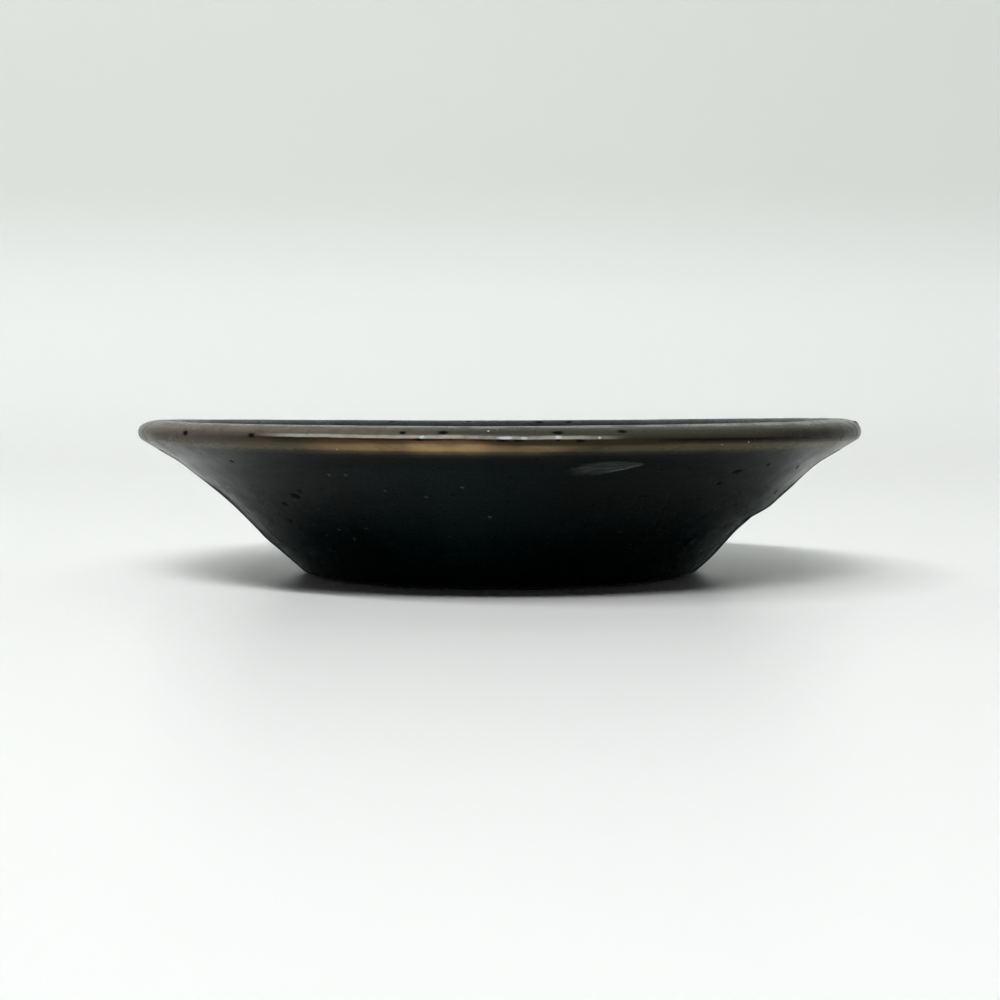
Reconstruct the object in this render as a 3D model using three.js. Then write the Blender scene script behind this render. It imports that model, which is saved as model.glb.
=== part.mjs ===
// A small stoneware dish: a moulded bowl on a luted foot ring, with a black glaze inside and out
// and a bronze glaze over the lip. Millimetres, +Z up, origin on the table at the centre of the foot.
import * as THREE from "three";

// Driving dimensions, measured over the glaze
const RIM_DIAMETER = 105; // at the lip's widest point
const DISH_HEIGHT = 22.2; // table to the crest of the lip
const FOOT_DIAMETER = 57.4; // where the line of the wall meets the table
const WALL_THICKNESS = 4.4; // square to the wall, at its foot
const FLOOR_THICKNESS = 4;
const GLAZE_THICKNESS = 0.45;

// The lip: a round nose, a flatter crest, and outside a flare that turns out from the wall
const NOSE_RADIUS = 1.25;
const CREST_RADIUS = 4.2;
const NOSE_TURN = THREE.MathUtils.degToRad(60); // above level, where the nose passes into the crest
const FLARE_ANGLE = THREE.MathUtils.degToRad(31.5); // above level
const FLARE_LENGTH = 6; // along the slope, from the wall to the nose
const FLARE_BEND_RADIUS = 12;

// The bronze glaze, measured along the slope from the ends of the lip's curve
const BRONZE_INSIDE = 2.5;
const BRONZE_OUTSIDE = 2.3;

// The well and the foot
const WELL_RADIUS = 9; // curve between the floor and the wall
const FOOT_HEIGHT = 1.6;
const FOOT_WIDTH = 6; // flat bearing face of the ring
const FOOT_CHAMFER = 0.5; // inner edge of the ring
const GLAZE_LIFT = 0.35; // table to the edge of the glaze, wiped back so that the foot stays bare

const SEGMENTS = 72;
const CURVE_STEPS = 3;
const SAME_POINT = 1e-6;

// A section is drawn with x as the radius and y as the height. Directions are unit vectors.
const QUARTER = Math.PI / 2;
const direction = (angle) => new THREE.Vector2(Math.cos(angle), Math.sin(angle));
const along = (point, way, distance) => point.clone().addScaledVector(way, distance);
const leftOf = (way) => new THREE.Vector2(-way.y, way.x);
const atHeight = (point, way, height) => along(point, way, (height - point.y) / way.y);

// Draws the path up to a corner and round it, ready to leave in a new direction.
function turnCorner(path, corner, arriving, leaving, radius) {
  const bend = Math.abs(Math.atan2(arriving.cross(leaving), arriving.dot(leaving)));
  const reach = radius * Math.tan(bend / 2);
  const start = along(corner, arriving, -reach);
  const end = along(corner, leaving, reach);
  path.lineTo(start.x, start.y);
  path.quadraticCurveTo(corner.x, corner.y, end.x, end.y);
}

// Where the lip's curves lie
const noseRise = CREST_RADIUS + (NOSE_RADIUS - CREST_RADIUS) * Math.sin(NOSE_TURN);
const noseCentre = new THREE.Vector2(RIM_DIAMETER / 2 - NOSE_RADIUS, DISH_HEIGHT - noseRise);
const crestCentre = along(noseCentre, direction(NOSE_TURN), NOSE_RADIUS - CREST_RADIUS);

// The outer line: up the wall from the foot, then up the flare to the nose
const flareWay = direction(FLARE_ANGLE);
const noseStart = along(noseCentre, direction(FLARE_ANGLE - QUARTER), NOSE_RADIUS);
const flareCorner = along(noseStart, flareWay, -FLARE_LENGTH);
const footEdge = new THREE.Vector2(FOOT_DIAMETER / 2, 0);
const wallWay = flareCorner.clone().sub(footEdge).normalize();
const bronzeOuterEdge = along(noseStart, flareWay, -BRONZE_OUTSIDE);
const glazeFoot = atHeight(footEdge, wallWay, GLAZE_LIFT);

// The clay's outer line, one glaze thickness in, with the seat where the bowl meets the foot ring
const intoWall = leftOf(wallWay);
const clayFoot = along(footEdge, intoWall, GLAZE_THICKNESS);
const seatEdge = atHeight(clayFoot, wallWay, FOOT_HEIGHT);
const bearingEdge = atHeight(clayFoot, wallWay, 0);
const glazeAtSeat = along(seatEdge, intoWall, -GLAZE_THICKNESS);

// The inner line: along the floor, then straight up the wall until it meets the crest's curve
const floorTop = FOOT_HEIGHT + FLOOR_THICKNESS;
const outwards = direction(0);
const innerFoot = along(footEdge, intoWall, WALL_THICKNESS);
const toCrest = crestCentre.clone().sub(innerFoot);
const innerAngle = toCrest.angle() + Math.asin(CREST_RADIUS / toCrest.length());
const innerWay = direction(innerAngle);
const crestEnd = along(crestCentre, leftOf(innerWay), CREST_RADIUS);
const wellCorner = atHeight(innerFoot, innerWay, floorTop);
const bronzeInnerEdge = along(crestEnd, innerWay, -BRONZE_INSIDE);

// The face that shows, in three stretches, from the middle of the floor over the lip to the foot
const insideFace = new THREE.Path();
insideFace.moveTo(0, floorTop);
turnCorner(insideFace, wellCorner, outwards, innerWay, WELL_RADIUS);
insideFace.lineTo(bronzeInnerEdge.x, bronzeInnerEdge.y);

const lipFace = new THREE.Path();
lipFace.moveTo(bronzeInnerEdge.x, bronzeInnerEdge.y);
lipFace.lineTo(crestEnd.x, crestEnd.y);
lipFace.absarc(crestCentre.x, crestCentre.y, CREST_RADIUS, innerAngle + QUARTER, NOSE_TURN, true);
lipFace.absarc(noseCentre.x, noseCentre.y, NOSE_RADIUS, NOSE_TURN, FLARE_ANGLE - QUARTER, true);
lipFace.lineTo(bronzeOuterEdge.x, bronzeOuterEdge.y);

const outsideFace = new THREE.Path();
const downFlare = flareWay.clone().negate();
const downWall = wallWay.clone().negate();
outsideFace.moveTo(bronzeOuterEdge.x, bronzeOuterEdge.y);
turnCorner(outsideFace, flareCorner, downFlare, downWall, FLARE_BEND_RADIUS);
outsideFace.lineTo(glazeAtSeat.x, glazeAtSeat.y);
outsideFace.lineTo(glazeFoot.x, glazeFoot.y);

// The points of a face, without the repeat that is left where one curve meets the next.
function pointsAlong(face) {
  const points = face.getPoints(CURVE_STEPS);
  return points.filter((point, i) => i === 0 || point.distanceTo(points[i - 1]) > SAME_POINT);
}

// The three stretches as one line of points, with the place where each begins
const stretches = [insideFace, lipFace, outsideFace].map(pointsAlong);
const facePoints = stretches.flatMap((points, i) => (i ? points.slice(1) : points));
const lipBegins = stretches[0].length - 1;
const outsideBegins = lipBegins + stretches[1].length - 1;

// The clay lies one glaze thickness under that face, square to it.
const clayPoints = facePoints.map((point, i) => {
  const before = facePoints[i - 1];
  const after = facePoints[i + 1];
  const arriving = before ? point.clone().sub(before).normalize() : outwards.clone();
  const leaving = after ? after.clone().sub(point).normalize() : arriving.clone();
  const square = leftOf(arriving).add(leftOf(leaving)).divideScalar(1 + arriving.dot(leaving));
  return along(point, square, -GLAZE_THICKNESS);
});

// The bowl ends in a flat seat. The foot ring goes on down the same slope to its bare bearing face,
// with a shallow recess inside it.
const [seat, glazeEdge] = clayPoints.slice(-2);
const bowlSection = [...clayPoints.slice(0, -1), new THREE.Vector2(0, seat.y)];
const bearingInner = bearingEdge.x - FOOT_WIDTH;
const recessRadius = bearingInner - FOOT_CHAMFER;
const ringSection = [
  new THREE.Vector2(bearingInner, 0),
  new THREE.Vector2(recessRadius, FOOT_CHAMFER),
  new THREE.Vector2(recessRadius, seat.y),
  seat,
  glazeEdge,
  bearingEdge,
];

// The recess is glazed as a shallow cup: the underside of the bowl, and the ring's inner face.
const recessGlazeRadius = recessRadius - GLAZE_THICKNESS;
const recessGlazeSection = [
  new THREE.Vector2(0, seat.y),
  new THREE.Vector2(recessRadius, seat.y),
  new THREE.Vector2(recessRadius, FOOT_CHAMFER),
  new THREE.Vector2(recessGlazeRadius, FOOT_CHAMFER),
  new THREE.Vector2(recessGlazeRadius, seat.y - GLAZE_THICKNESS),
  new THREE.Vector2(0, seat.y - GLAZE_THICKNESS),
];

// A coat of glaze between two places on the face, closed on its clay side.
function coatSection(first, last) {
  const outer = facePoints.slice(first, last + 1);
  const inner = clayPoints.slice(first, last + 1).reverse();
  return [...outer, ...inner];
}

// Turns a closed section round Z. A section that starts on the axis ends on it.
function turnSection(section) {
  const [start] = section;
  const outline = start.x === 0 ? section : [...section, start];
  const geometry = new THREE.LatheGeometry(outline.toReversed(), SEGMENTS);
  return geometry.rotateX(QUARTER);
}

const STONEWARE = { color: 0x4a3a30, roughness: 0.9, metalness: 0 };
const BLACK_GLAZE = { color: 0x14171a, roughness: 0.35, metalness: 0 };
const BRONZE_GLAZE = { color: 0x6e5838, roughness: 0.4, metalness: 0.3 };

function piece(name, section, finish) {
  const mesh = new THREE.Mesh(turnSection(section), new THREE.MeshStandardMaterial(finish));
  mesh.name = name;
  return mesh;
}

const dish = new THREE.Group();
dish.add(
  piece("foot_ring", ringSection, STONEWARE),
  piece("clay_bowl", bowlSection, STONEWARE),
  piece("foot_well_glaze", recessGlazeSection, BLACK_GLAZE),
  piece("inside_glaze", coatSection(0, lipBegins), BLACK_GLAZE),
  piece("rim_glaze", coatSection(lipBegins, outsideBegins), BRONZE_GLAZE),
  piece("outside_glaze", coatSection(outsideBegins, facePoints.length - 1), BLACK_GLAZE),
);

export default dish;
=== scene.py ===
"""A small stoneware dish, glazed black with a bronze lip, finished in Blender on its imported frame."""
import math
import random

import bpy
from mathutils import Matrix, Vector


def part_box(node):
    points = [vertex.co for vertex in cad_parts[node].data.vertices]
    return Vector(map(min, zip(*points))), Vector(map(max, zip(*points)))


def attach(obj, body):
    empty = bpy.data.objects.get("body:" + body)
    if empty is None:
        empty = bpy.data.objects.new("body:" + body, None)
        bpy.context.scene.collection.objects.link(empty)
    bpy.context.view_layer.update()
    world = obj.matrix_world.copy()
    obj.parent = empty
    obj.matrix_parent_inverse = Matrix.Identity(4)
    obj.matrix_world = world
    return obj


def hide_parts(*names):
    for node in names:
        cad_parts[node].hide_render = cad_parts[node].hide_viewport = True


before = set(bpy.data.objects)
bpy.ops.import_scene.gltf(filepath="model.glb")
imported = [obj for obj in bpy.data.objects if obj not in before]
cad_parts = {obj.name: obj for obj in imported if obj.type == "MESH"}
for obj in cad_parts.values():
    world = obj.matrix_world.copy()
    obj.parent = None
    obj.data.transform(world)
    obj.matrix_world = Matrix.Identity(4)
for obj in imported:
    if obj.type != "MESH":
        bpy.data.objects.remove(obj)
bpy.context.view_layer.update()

# The bowl
# A thick stoneware bowl, pressed over a mould and trimmed by hand, so it is neither quite round nor level.
# None of its clay shows: it is glazed all over, apart from its seat on the foot ring. Sections are drawn in
# millimetres, with x as the radius and y as the height.
MM = 0.001
QUARTER = math.pi / 2
FOOT_RADIUS = 28.7  # where the line of the wall meets the table
WALL_THICKNESS = 4.4  # square to the wall, at its foot
NOSE_RADIUS = 1.25  # the lip's round nose
NOSE_TURN = math.radians(60)  # above level, where the nose passes into the crest
CREST_RADIUS = 4.2
FLARE_ANGLE = math.radians(31.5)  # above level
FLARE_LENGTH = 6  # along the slope, from the wall to the nose
FLARE_BEND_RADIUS = 12
WELL_RADIUS = 9  # curve between the floor and the wall
BRONZE_INSIDE = 2.5  # bronze glaze past the lip's curve, along the slope
BRONZE_OUTSIDE = 2.3
CURVE_STEP = 0.05  # between the points that draw a curve

clay_low, clay_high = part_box("clay_bowl")
lip_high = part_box("rim_glaze")[1]
rim_radius = lip_high.x / MM
dish_height = lip_high.z / MM
seat_height = clay_low.z / MM
glaze_thickness = (lip_high.z - clay_high.z) / MM
floor_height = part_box("inside_glaze")[0].z / MM + glaze_thickness
glaze_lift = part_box("outside_glaze")[0].z / MM


def direction(angle):
    return Vector((math.cos(angle), math.sin(angle)))


def left_of(way):
    return Vector((-way.y, way.x))


def at_height(point, way, height):
    return point + way * ((height - point.y) / way.y)


def arc(centre, radius, first, last):
    """Points round a centre, from one angle to another."""
    count = math.ceil(radius * abs(last - first) / CURVE_STEP)
    angles = [first + (last - first) * i / count for i in range(count + 1)]
    return [centre + direction(angle) * radius for angle in angles]


def round_corner(corner, arriving, leaving, radius):
    """Points that curve round a corner between two directions."""
    reach = radius * math.tan(arriving.angle(leaving) / 2)
    start = corner - arriving * reach
    end = corner + leaving * reach
    count = math.ceil(2 * reach / CURVE_STEP)
    shares = [i / count for i in range(count + 1)]
    return [start.lerp(corner, t).lerp(corner.lerp(end, t), t) for t in shares]


def length_of(path):
    return sum((b - a).length for a, b in zip(path, path[1:]))


def evenly(path, step):
    """The same path, as points an even distance apart."""
    total = length_of(path)
    count = math.ceil(total / step)
    points = [path[0]]
    walked = 0.0
    for a, b in zip(path, path[1:]):
        stretch = (b - a).length
        while len(points) < count and total * len(points) / count <= walked + stretch:
            points.append(a.lerp(b, (total * len(points) / count - walked) / stretch))
        walked += stretch
    return points + [path[-1]]


def under(path, depth):
    """A path that runs beside another, to the right of it."""
    offset = []
    for i, point in enumerate(path):
        before = path[max(i - 1, 0)]
        after = path[min(i + 1, len(path) - 1)]
        offset.append(point - left_of((after - before).normalized()) * depth)
    return offset


# The lip's curves, and the outer line from the foot up to them
nose_rise = CREST_RADIUS + (NOSE_RADIUS - CREST_RADIUS) * math.sin(NOSE_TURN)
nose_centre = Vector((rim_radius - NOSE_RADIUS, dish_height - nose_rise))
crest_centre = nose_centre + direction(NOSE_TURN) * (NOSE_RADIUS - CREST_RADIUS)
flare_way = direction(FLARE_ANGLE)
nose_start = nose_centre + direction(FLARE_ANGLE - QUARTER) * NOSE_RADIUS
flare_corner = nose_start - flare_way * FLARE_LENGTH
foot_edge = Vector((FOOT_RADIUS, 0))
wall_way = (flare_corner - foot_edge).normalized()
into_wall = left_of(wall_way)
bronze_outer_edge = nose_start - flare_way * BRONZE_OUTSIDE
glaze_foot = at_height(foot_edge, wall_way, glaze_lift)

# The inner line, along the floor and up the wall until it meets the crest
inner_foot = foot_edge + into_wall * WALL_THICKNESS
to_crest = crest_centre - inner_foot
inner_angle = math.atan2(to_crest.y, to_crest.x) + math.asin(CREST_RADIUS / to_crest.length)
inner_way = direction(inner_angle)
crest_end = crest_centre + left_of(inner_way) * CREST_RADIUS
well_corner = at_height(inner_foot, inner_way, floor_height)
bronze_inner_edge = crest_end - inner_way * BRONZE_INSIDE

# The face that shows, in three stretches, from the middle of the floor over the lip to the foot
inside_face = [
    Vector((0, floor_height)),
    *round_corner(well_corner, direction(0), inner_way, WELL_RADIUS),
    bronze_inner_edge,
]
lip_face = [
    bronze_inner_edge,
    *arc(crest_centre, CREST_RADIUS, inner_angle + QUARTER, NOSE_TURN),
    *arc(nose_centre, NOSE_RADIUS, NOSE_TURN, FLARE_ANGLE - QUARTER)[1:],
    bronze_outer_edge,
]
outside_face = [
    bronze_outer_edge,
    *round_corner(flare_corner, -flare_way, -wall_way, FLARE_BEND_RADIUS),
    glaze_foot,
]


NOISE_MIDDLE = 0.5
NOISE_SPREAD = 4.0  # brings the usual swing of noise, about a quarter, up to one
LEVEL = (1, 1, 0)  # leaves out the height


class Wiring:
    """Adds nodes to a tree. Each input is a socket to link or a value to set, by name or number."""

    def __init__(self, tree):
        self.tree = tree

    def feed(self, node, inputs):
        for key, given in inputs.items():
            if isinstance(given, bpy.types.NodeSocket):
                self.tree.links.new(given, node.inputs[key])
            else:
                node.inputs[key].default_value = given

    def add(self, kind, inputs=None, **options):
        node = self.tree.nodes.new(kind)
        for option, choice in options.items():
            setattr(node, option, choice)
        self.feed(node, inputs or {})
        return node

    def made(self, kind, inputs=None, **options):
        """The first output of a new node."""
        return self.add(kind, inputs, **options).outputs[0]

    def maths(self, operation, *values):
        return self.made("ShaderNodeMath", dict(enumerate(values)), operation=operation)

    def total(self, first, *others):
        for other in others:
            first = self.maths("ADD", first, other)
        return first

    def times(self, first, *others):
        for other in others:
            first = self.maths("MULTIPLY", first, other)
        return first

    def vectors(self, operation, *values):
        node = self.add("ShaderNodeVectorMath", dict(enumerate(values)), operation=operation)
        return node.outputs["Value" if operation in ("LENGTH", "DOT_PRODUCT") else "Vector"]

    def scaled(self, vector, amount):
        inputs = {"Vector": vector, "Scale": amount}
        return self.add("ShaderNodeVectorMath", inputs, operation="SCALE").outputs["Vector"]

    def fade(self, value, start, end, low=0.0, high=1.0):
        inputs = {"Value": value, "From Min": start, "From Max": end, "To Min": low, "To Max": high}
        return self.add("ShaderNodeMapRange", inputs, interpolation_type="SMOOTHSTEP").outputs["Result"]

    def noise(self, place, size, detail=2.0):
        """Noise from 0 to 1 with lumps of about a given size, in metres."""
        return self.made("ShaderNodeTexNoise", {"Vector": place, "Scale": 1 / size, "Detail": detail})

    def uneven(self, place, size, height, detail=2.0):
        """Noise that swings by a height above and below nought."""
        lumps = self.maths("SUBTRACT", self.noise(place, size, detail), NOISE_MIDDLE)
        return self.times(lumps, self.times(height, NOISE_SPREAD))

    def patches(self, place, size, detail, start, end, low=0.0, high=1.0):
        """Noise that passes from a low to a high value between two of its levels."""
        return self.fade(self.noise(place, size, detail), start, end, low, high)


# What the hand left: where the wall was pressed, as a bearing in degrees from the front with right as
# positive, a radius, a height, half the width and half the height of the place, and how far it stands out
DENTS = [
    (-80, 40.7, 10.9, 16, 4.3, -0.44),
    (-80, 34.4, 5.2, 12, 1.0, 0.12),
    (80, 36.0, 6.6, 14, 2.9, -0.64),
    (80, 39.8, 10.0, 14, 0.8, 0.13),
    (80, 37.8, 8.2, 14, 0.6, -0.13),
    (80, 45.2, 14.9, 14, 2.0, -0.19),
]
HAND_SIZES = {"Rim Sway": 0.27 * MM, "Rim Tilt": 0.11 * MM, "Rim Shift": -0.1 * MM, "Unevenness": 0.04 * MM}
NO_RELIEF = {"Ripple": 0.0, "Peel": 0.0}
SWEEP_RADIUS = 0.01  # circle that carries the section round
SAME_POINT = 1e-7
STEADY_HEIGHT = 0.001  # up to here the foot is true, and from the next height on the wall is uneven
UNEVEN_HEIGHT = 0.004
MIDDLE_RADIUS = 0.01  # nearer the axis than this, the unevenness works less and less outwards
CREST_ONLY = 8  # power of the height that keeps the sway of the rim to its crest
SHARP_ANGLE = math.radians(40)
SWELLING_SIZE = 0.014  # of the lumps in an uneven wall
RIPPLE_SIZE = 0.0024
RIPPLE_DRIFT = 0.04  # how far the rings of the ripple wander off the round
PEEL_SIZE = 0.0013


def by_bearing(bearing, radius, height):
    """A point from a bearing in degrees from the front, with right as positive."""
    angle = math.radians(bearing) - QUARTER
    return Vector((math.cos(angle) * radius, math.sin(angle) * radius, height))


def hand_shape(wiring, sizes):
    """The offset of each point of a true round: a swaying rim, an uneven wall and dents."""
    position = wiring.made("GeometryNodeInputPosition")
    x, y, z = wiring.add("ShaderNodeSeparateXYZ", {0: position}).outputs
    level = wiring.vectors("MULTIPLY", position, LEVEL)
    radius = wiring.maths("MAXIMUM", wiring.vectors("LENGTH", level), MIDDLE_RADIUS)
    angle = wiring.maths("ARCTAN2", y, x)

    near_rim = wiring.maths("POWER", wiring.maths("DIVIDE", z, dish_height * MM), CREST_ONLY)
    twice_round = wiring.maths("COSINE", wiring.times(angle, 2.0))
    sway = wiring.times(twice_round, sizes["Rim Sway"])
    tilt = wiring.times(wiring.maths("COSINE", angle), sizes["Rim Tilt"])
    lean = wiring.made("ShaderNodeCombineXYZ", {"X": sizes["Rim Shift"], "Z": wiring.total(sway, tilt)})
    rim_offset = wiring.scaled(lean, near_rim)

    swelling = wiring.uneven(position, SWELLING_SIZE, sizes["Unevenness"], detail=1.0)
    for bearing, dent_radius, height, half_width, half_height, depth in DENTS:
        centre = by_bearing(bearing, dent_radius, height) * MM
        spread = Vector((half_width, half_width, half_height)) * MM
        away = wiring.vectors("DIVIDE", wiring.vectors("SUBTRACT", position, centre), spread)
        far = wiring.vectors("DOT_PRODUCT", away, away)
        nearness = wiring.maths("EXPONENT", wiring.times(far, -1.0))
        swelling = wiring.total(swelling, wiring.times(nearness, depth * MM))
    free = wiring.fade(z, STEADY_HEIGHT, UNEVEN_HEIGHT)
    swelling = wiring.times(swelling, free)
    outwards = wiring.scaled(wiring.scaled(level, wiring.maths("DIVIDE", 1.0, radius)), wall_way.y)
    square_to_wall = wiring.vectors("SUBTRACT", outwards, (0, 0, wall_way.x))
    return wiring.vectors("ADD", rim_offset, wiring.scaled(square_to_wall, swelling))


def own_value(wiring, name, kind="FLOAT"):
    """What each point of the mesh keeps under a name, in a tree that shapes it."""
    return wiring.made("GeometryNodeInputNamedAttribute", {"Name": name}, data_type=kind)


def mark_fields(wiring, marks):
    """How far the nearest of the marks lifts each point, in millimetres, and how pale or dark it is there."""
    position = wiring.made("GeometryNodeInputPosition")
    found = wiring.add("GeometryNodeObjectInfo", {"Object": marks}).outputs["Geometry"]
    nearest = wiring.made("GeometryNodeSampleNearest", {"Geometry": found, "Sample Position": position})

    def sampled(name, kind="FLOAT"):
        given = {"Geometry": found, "Value": own_value(wiring, name, kind), "Index": nearest}
        return wiring.made("GeometryNodeSampleIndex", given, data_type=kind)

    spot = sampled("position", "FLOAT_VECTOR")
    spread = wiring.add("ShaderNodeSeparateXYZ", {0: sampled("spread", "FLOAT_VECTOR")})
    half_length, half_width, slant = spread.outputs
    around = wiring.vectors("NORMALIZE", wiring.vectors("CROSS_PRODUCT", (0, 0, 1), spot))
    along = wiring.maths("DIVIDE", wiring.vectors("DOT_PRODUCT", position, around), MM)
    across = wiring.maths("SUBTRACT", own_value(wiring, "place"), sampled("place"))
    turned = wiring.made("ShaderNodeVectorRotate", {
        "Vector": wiring.made("ShaderNodeCombineXYZ", {"X": along, "Y": across}),
        "Angle": wiring.times(slant, -1.0),
    }, rotation_type="Z_AXIS")
    sizes = wiring.made("ShaderNodeCombineXYZ", {"X": half_length, "Y": half_width, "Z": 1.0})
    away = wiring.vectors("DIVIDE", turned, sizes)
    far = wiring.vectors("DOT_PRODUCT", away, away)
    nearness = wiring.maths("EXPONENT", wiring.times(far, -1.0))
    on_face = wiring.times(nearness, own_value(wiring, "shown"))
    return {name: wiring.times(on_face, sampled(name)) for name in ("lift", "tone")}


def turned_piece_tree():
    """Turns a section round Z, then gives it the shape that the hand left, its marks and its fine relief."""
    tree = bpy.data.node_groups.new("turned_piece", "GeometryNodeTree")
    sizes = dict.fromkeys((*HAND_SIZES, *NO_RELIEF), "Float")
    inputs = {"Section": "Geometry", "Turns": "Int", **sizes, "Marks": "Object", "Finish": "Material"}
    for name, kind in inputs.items():
        tree.interface.new_socket(name, in_out="INPUT", socket_type="NodeSocket" + kind)
    tree.interface.new_socket("Piece", in_out="OUTPUT", socket_type="NodeSocketGeometry")
    wiring = Wiring(tree)
    given = wiring.add("NodeGroupInput").outputs

    laid_flat = wiring.made("GeometryNodeTransform", {
        "Geometry": given["Section"],
        "Translation": (-SWEEP_RADIUS, 0, 0),
        "Rotation": (QUARTER, 0, 0),
    })
    profile = wiring.made("GeometryNodeMeshToCurve", {0: laid_flat})
    circle = wiring.made("GeometryNodeCurvePrimitiveCircle", {
        "Resolution": given["Turns"],
        "Radius": SWEEP_RADIUS,
    })
    upright = wiring.made("GeometryNodeSetCurveNormal", {"Curve": circle}, mode="Z_UP")
    swept = wiring.made("GeometryNodeCurveToMesh", {"Curve": upright, "Profile Curve": profile})
    closed = wiring.made("GeometryNodeMergeByDistance", {"Geometry": swept, "Distance": SAME_POINT})

    marked = closed
    for name, field in mark_fields(wiring, given["Marks"]).items():
        inputs = {"Geometry": marked, "Name": name, "Value": field}
        marked = wiring.made("GeometryNodeStoreNamedAttribute", inputs, data_type="FLOAT", domain="POINT")
    shaped = wiring.made("GeometryNodeSetPosition", {"Geometry": marked, "Offset": hand_shape(wiring, given)})

    position = wiring.made("GeometryNodeInputPosition")
    along_face = wiring.times(own_value(wiring, "place"), MM)
    rings = wiring.made("ShaderNodeCombineXYZ", {"X": along_face})
    drifting = wiring.vectors("ADD", rings, wiring.scaled(position, RIPPLE_DRIFT))
    ripple = wiring.uneven(drifting, RIPPLE_SIZE, given["Ripple"])
    peel = wiring.uneven(position, PEEL_SIZE, given["Peel"])
    relief = wiring.times(wiring.total(ripple, peel), own_value(wiring, "shown"))
    relief = wiring.total(relief, wiring.times(own_value(wiring, "lift"), MM))
    raised = wiring.scaled(wiring.made("GeometryNodeInputNormal"), relief)
    textured = wiring.made("GeometryNodeSetPosition", {"Geometry": shaped, "Offset": raised})

    bend = wiring.add("GeometryNodeInputMeshEdgeAngle").outputs["Unsigned Angle"]
    sharp = wiring.made(
        "FunctionNodeCompare", {0: bend, 1: SHARP_ANGLE}, data_type="FLOAT", operation="GREATER_THAN")
    smooth = wiring.made("GeometryNodeSetShadeSmooth", {"Geometry": textured, "Shade Smooth": True})
    edged = wiring.made("GeometryNodeSetShadeSmooth", {
        "Geometry": smooth,
        "Selection": sharp,
        "Shade Smooth": False,
    }, domain="EDGE")
    real = wiring.made("GeometryNodeRealizeInstances", {"Geometry": edged})
    finished = wiring.made("GeometryNodeSetMaterial", {"Geometry": real, "Material": given["Finish"]})
    wiring.add("NodeGroupOutput", {"Piece": finished})
    return tree


turned_piece = turned_piece_tree()


def new_object(name, data):
    """An object in the scene."""
    holder = bpy.data.objects.new(name, data)
    bpy.context.scene.collection.objects.link(holder)
    return holder


def keep_values(mesh, name, values):
    """Gives each point of a mesh a number under a name."""
    mesh.attributes.new(name, "FLOAT", "POINT").data.foreach_set("value", values)


def turn(name, node, outline, turns, finish, relief, marks=None):
    """Turns an outline into a finished piece, which stands for a CAD node. Each point of the outline has its
    place along the face, and 1 where it shows or 0 where it lies on the clay."""
    points = [(point.x * MM, 0, point.y * MM) for point, place, shown in outline]
    edges = [(i, i + 1) for i in range(len(points) - 1)]
    if points[0][0] > 0:
        edges.append((len(points) - 1, 0))
    section = bpy.data.meshes.new(name + "_section")
    section.from_pydata(points, edges, [])
    keep_values(section, "place", [place for _, place, _ in outline])
    keep_values(section, "shown", [shown for _, _, shown in outline])
    piece = new_object(name, section)

    modifier = piece.modifiers.new("turned_piece", "NODES")
    modifier.node_group = turned_piece
    values = {"Turns": turns, "Marks": marks, "Finish": finish, **HAND_SIZES, **relief}
    for socket in turned_piece.interface.items_tree:
        if socket.name in values:
            modifier[socket.identifier] = values[socket.name]
    depsgraph = bpy.context.evaluated_depsgraph_get()
    evaluated = piece.evaluated_get(depsgraph)
    mesh = bpy.data.meshes.new_from_object(evaluated, preserve_all_data_layers=True, depsgraph=depsgraph)
    piece.modifiers.remove(modifier)
    piece.data = mesh
    bpy.data.meshes.remove(section)
    mesh.name = name
    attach(piece, "root")
    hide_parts(node)
    return piece


CLAY = (0.062, 0.042, 0.030, 1)
CLAY_DARK = (0.034, 0.023, 0.017, 1)
CLAY_EDGE_DARK = (0.010, 0.009, 0.008, 1)
GROG = (0.20, 0.155, 0.115, 1)
EDGE_DARK_FROM = 27.2 * MM  # radius from which the clay darkens towards the edge of the glaze
EDGE_DARK_TO = 27.9 * MM
CLAY_IOR = 1.5
CLAY_CLOUD = {"size": 0.006, "detail": 4.0, "start": 0.35, "end": 0.65}
CLAY_ROUGHNESS = {"size": 0.002, "detail": 2.0, "start": 0.3, "end": 0.7, "low": 0.72, "high": 0.92}
GROG_DOTS = {"gap": 0.0011, "edge": 0.32, "core": 0.2, "bare": 0.62, "full": 0.7}
TOOL_LINE_GAP = 0.0005
CLAY_GRAIN = {"size": 0.0003, "detail": 3.0}
CLAY_BUMP = {"Strength": 0.8, "Distance": 0.00006}
MIX_FACTOR, MIX_FIRST, MIX_SECOND, MIX_RESULT = 0, 6, 7, 2  # the sockets of a Mix node for colours


def mixed(wiring, share, first, second, blend="MIX"):
    """One colour passing into another, or darkened by it."""
    inputs = {MIX_FACTOR: share, MIX_FIRST: first, MIX_SECOND: second}
    return wiring.add("ShaderNodeMix", inputs, data_type="RGBA", blend_type=blend).outputs[MIX_RESULT]


def layered(wiring, colour, *layers):
    """A colour with others laid over it, each by its own share."""
    for share, other in layers:
        colour = mixed(wiring, share, colour, other)
    return colour


def new_finish(name, **settings):
    """A material with its shader, the wiring of its tree, and the place of each point of the piece."""
    material = bpy.data.materials.new(name)
    material.use_nodes = True
    shader = material.node_tree.nodes["Principled BSDF"]
    for socket, value in settings.items():
        shader.inputs[socket].default_value = value
    wiring = Wiring(material.node_tree)
    return material, shader, wiring, wiring.add("ShaderNodeTexCoord").outputs["Object"]


def radius_of(wiring, place):
    """How far each point is from the axis."""
    return wiring.vectors("LENGTH", wiring.vectors("MULTIPLY", place, LEVEL))


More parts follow.
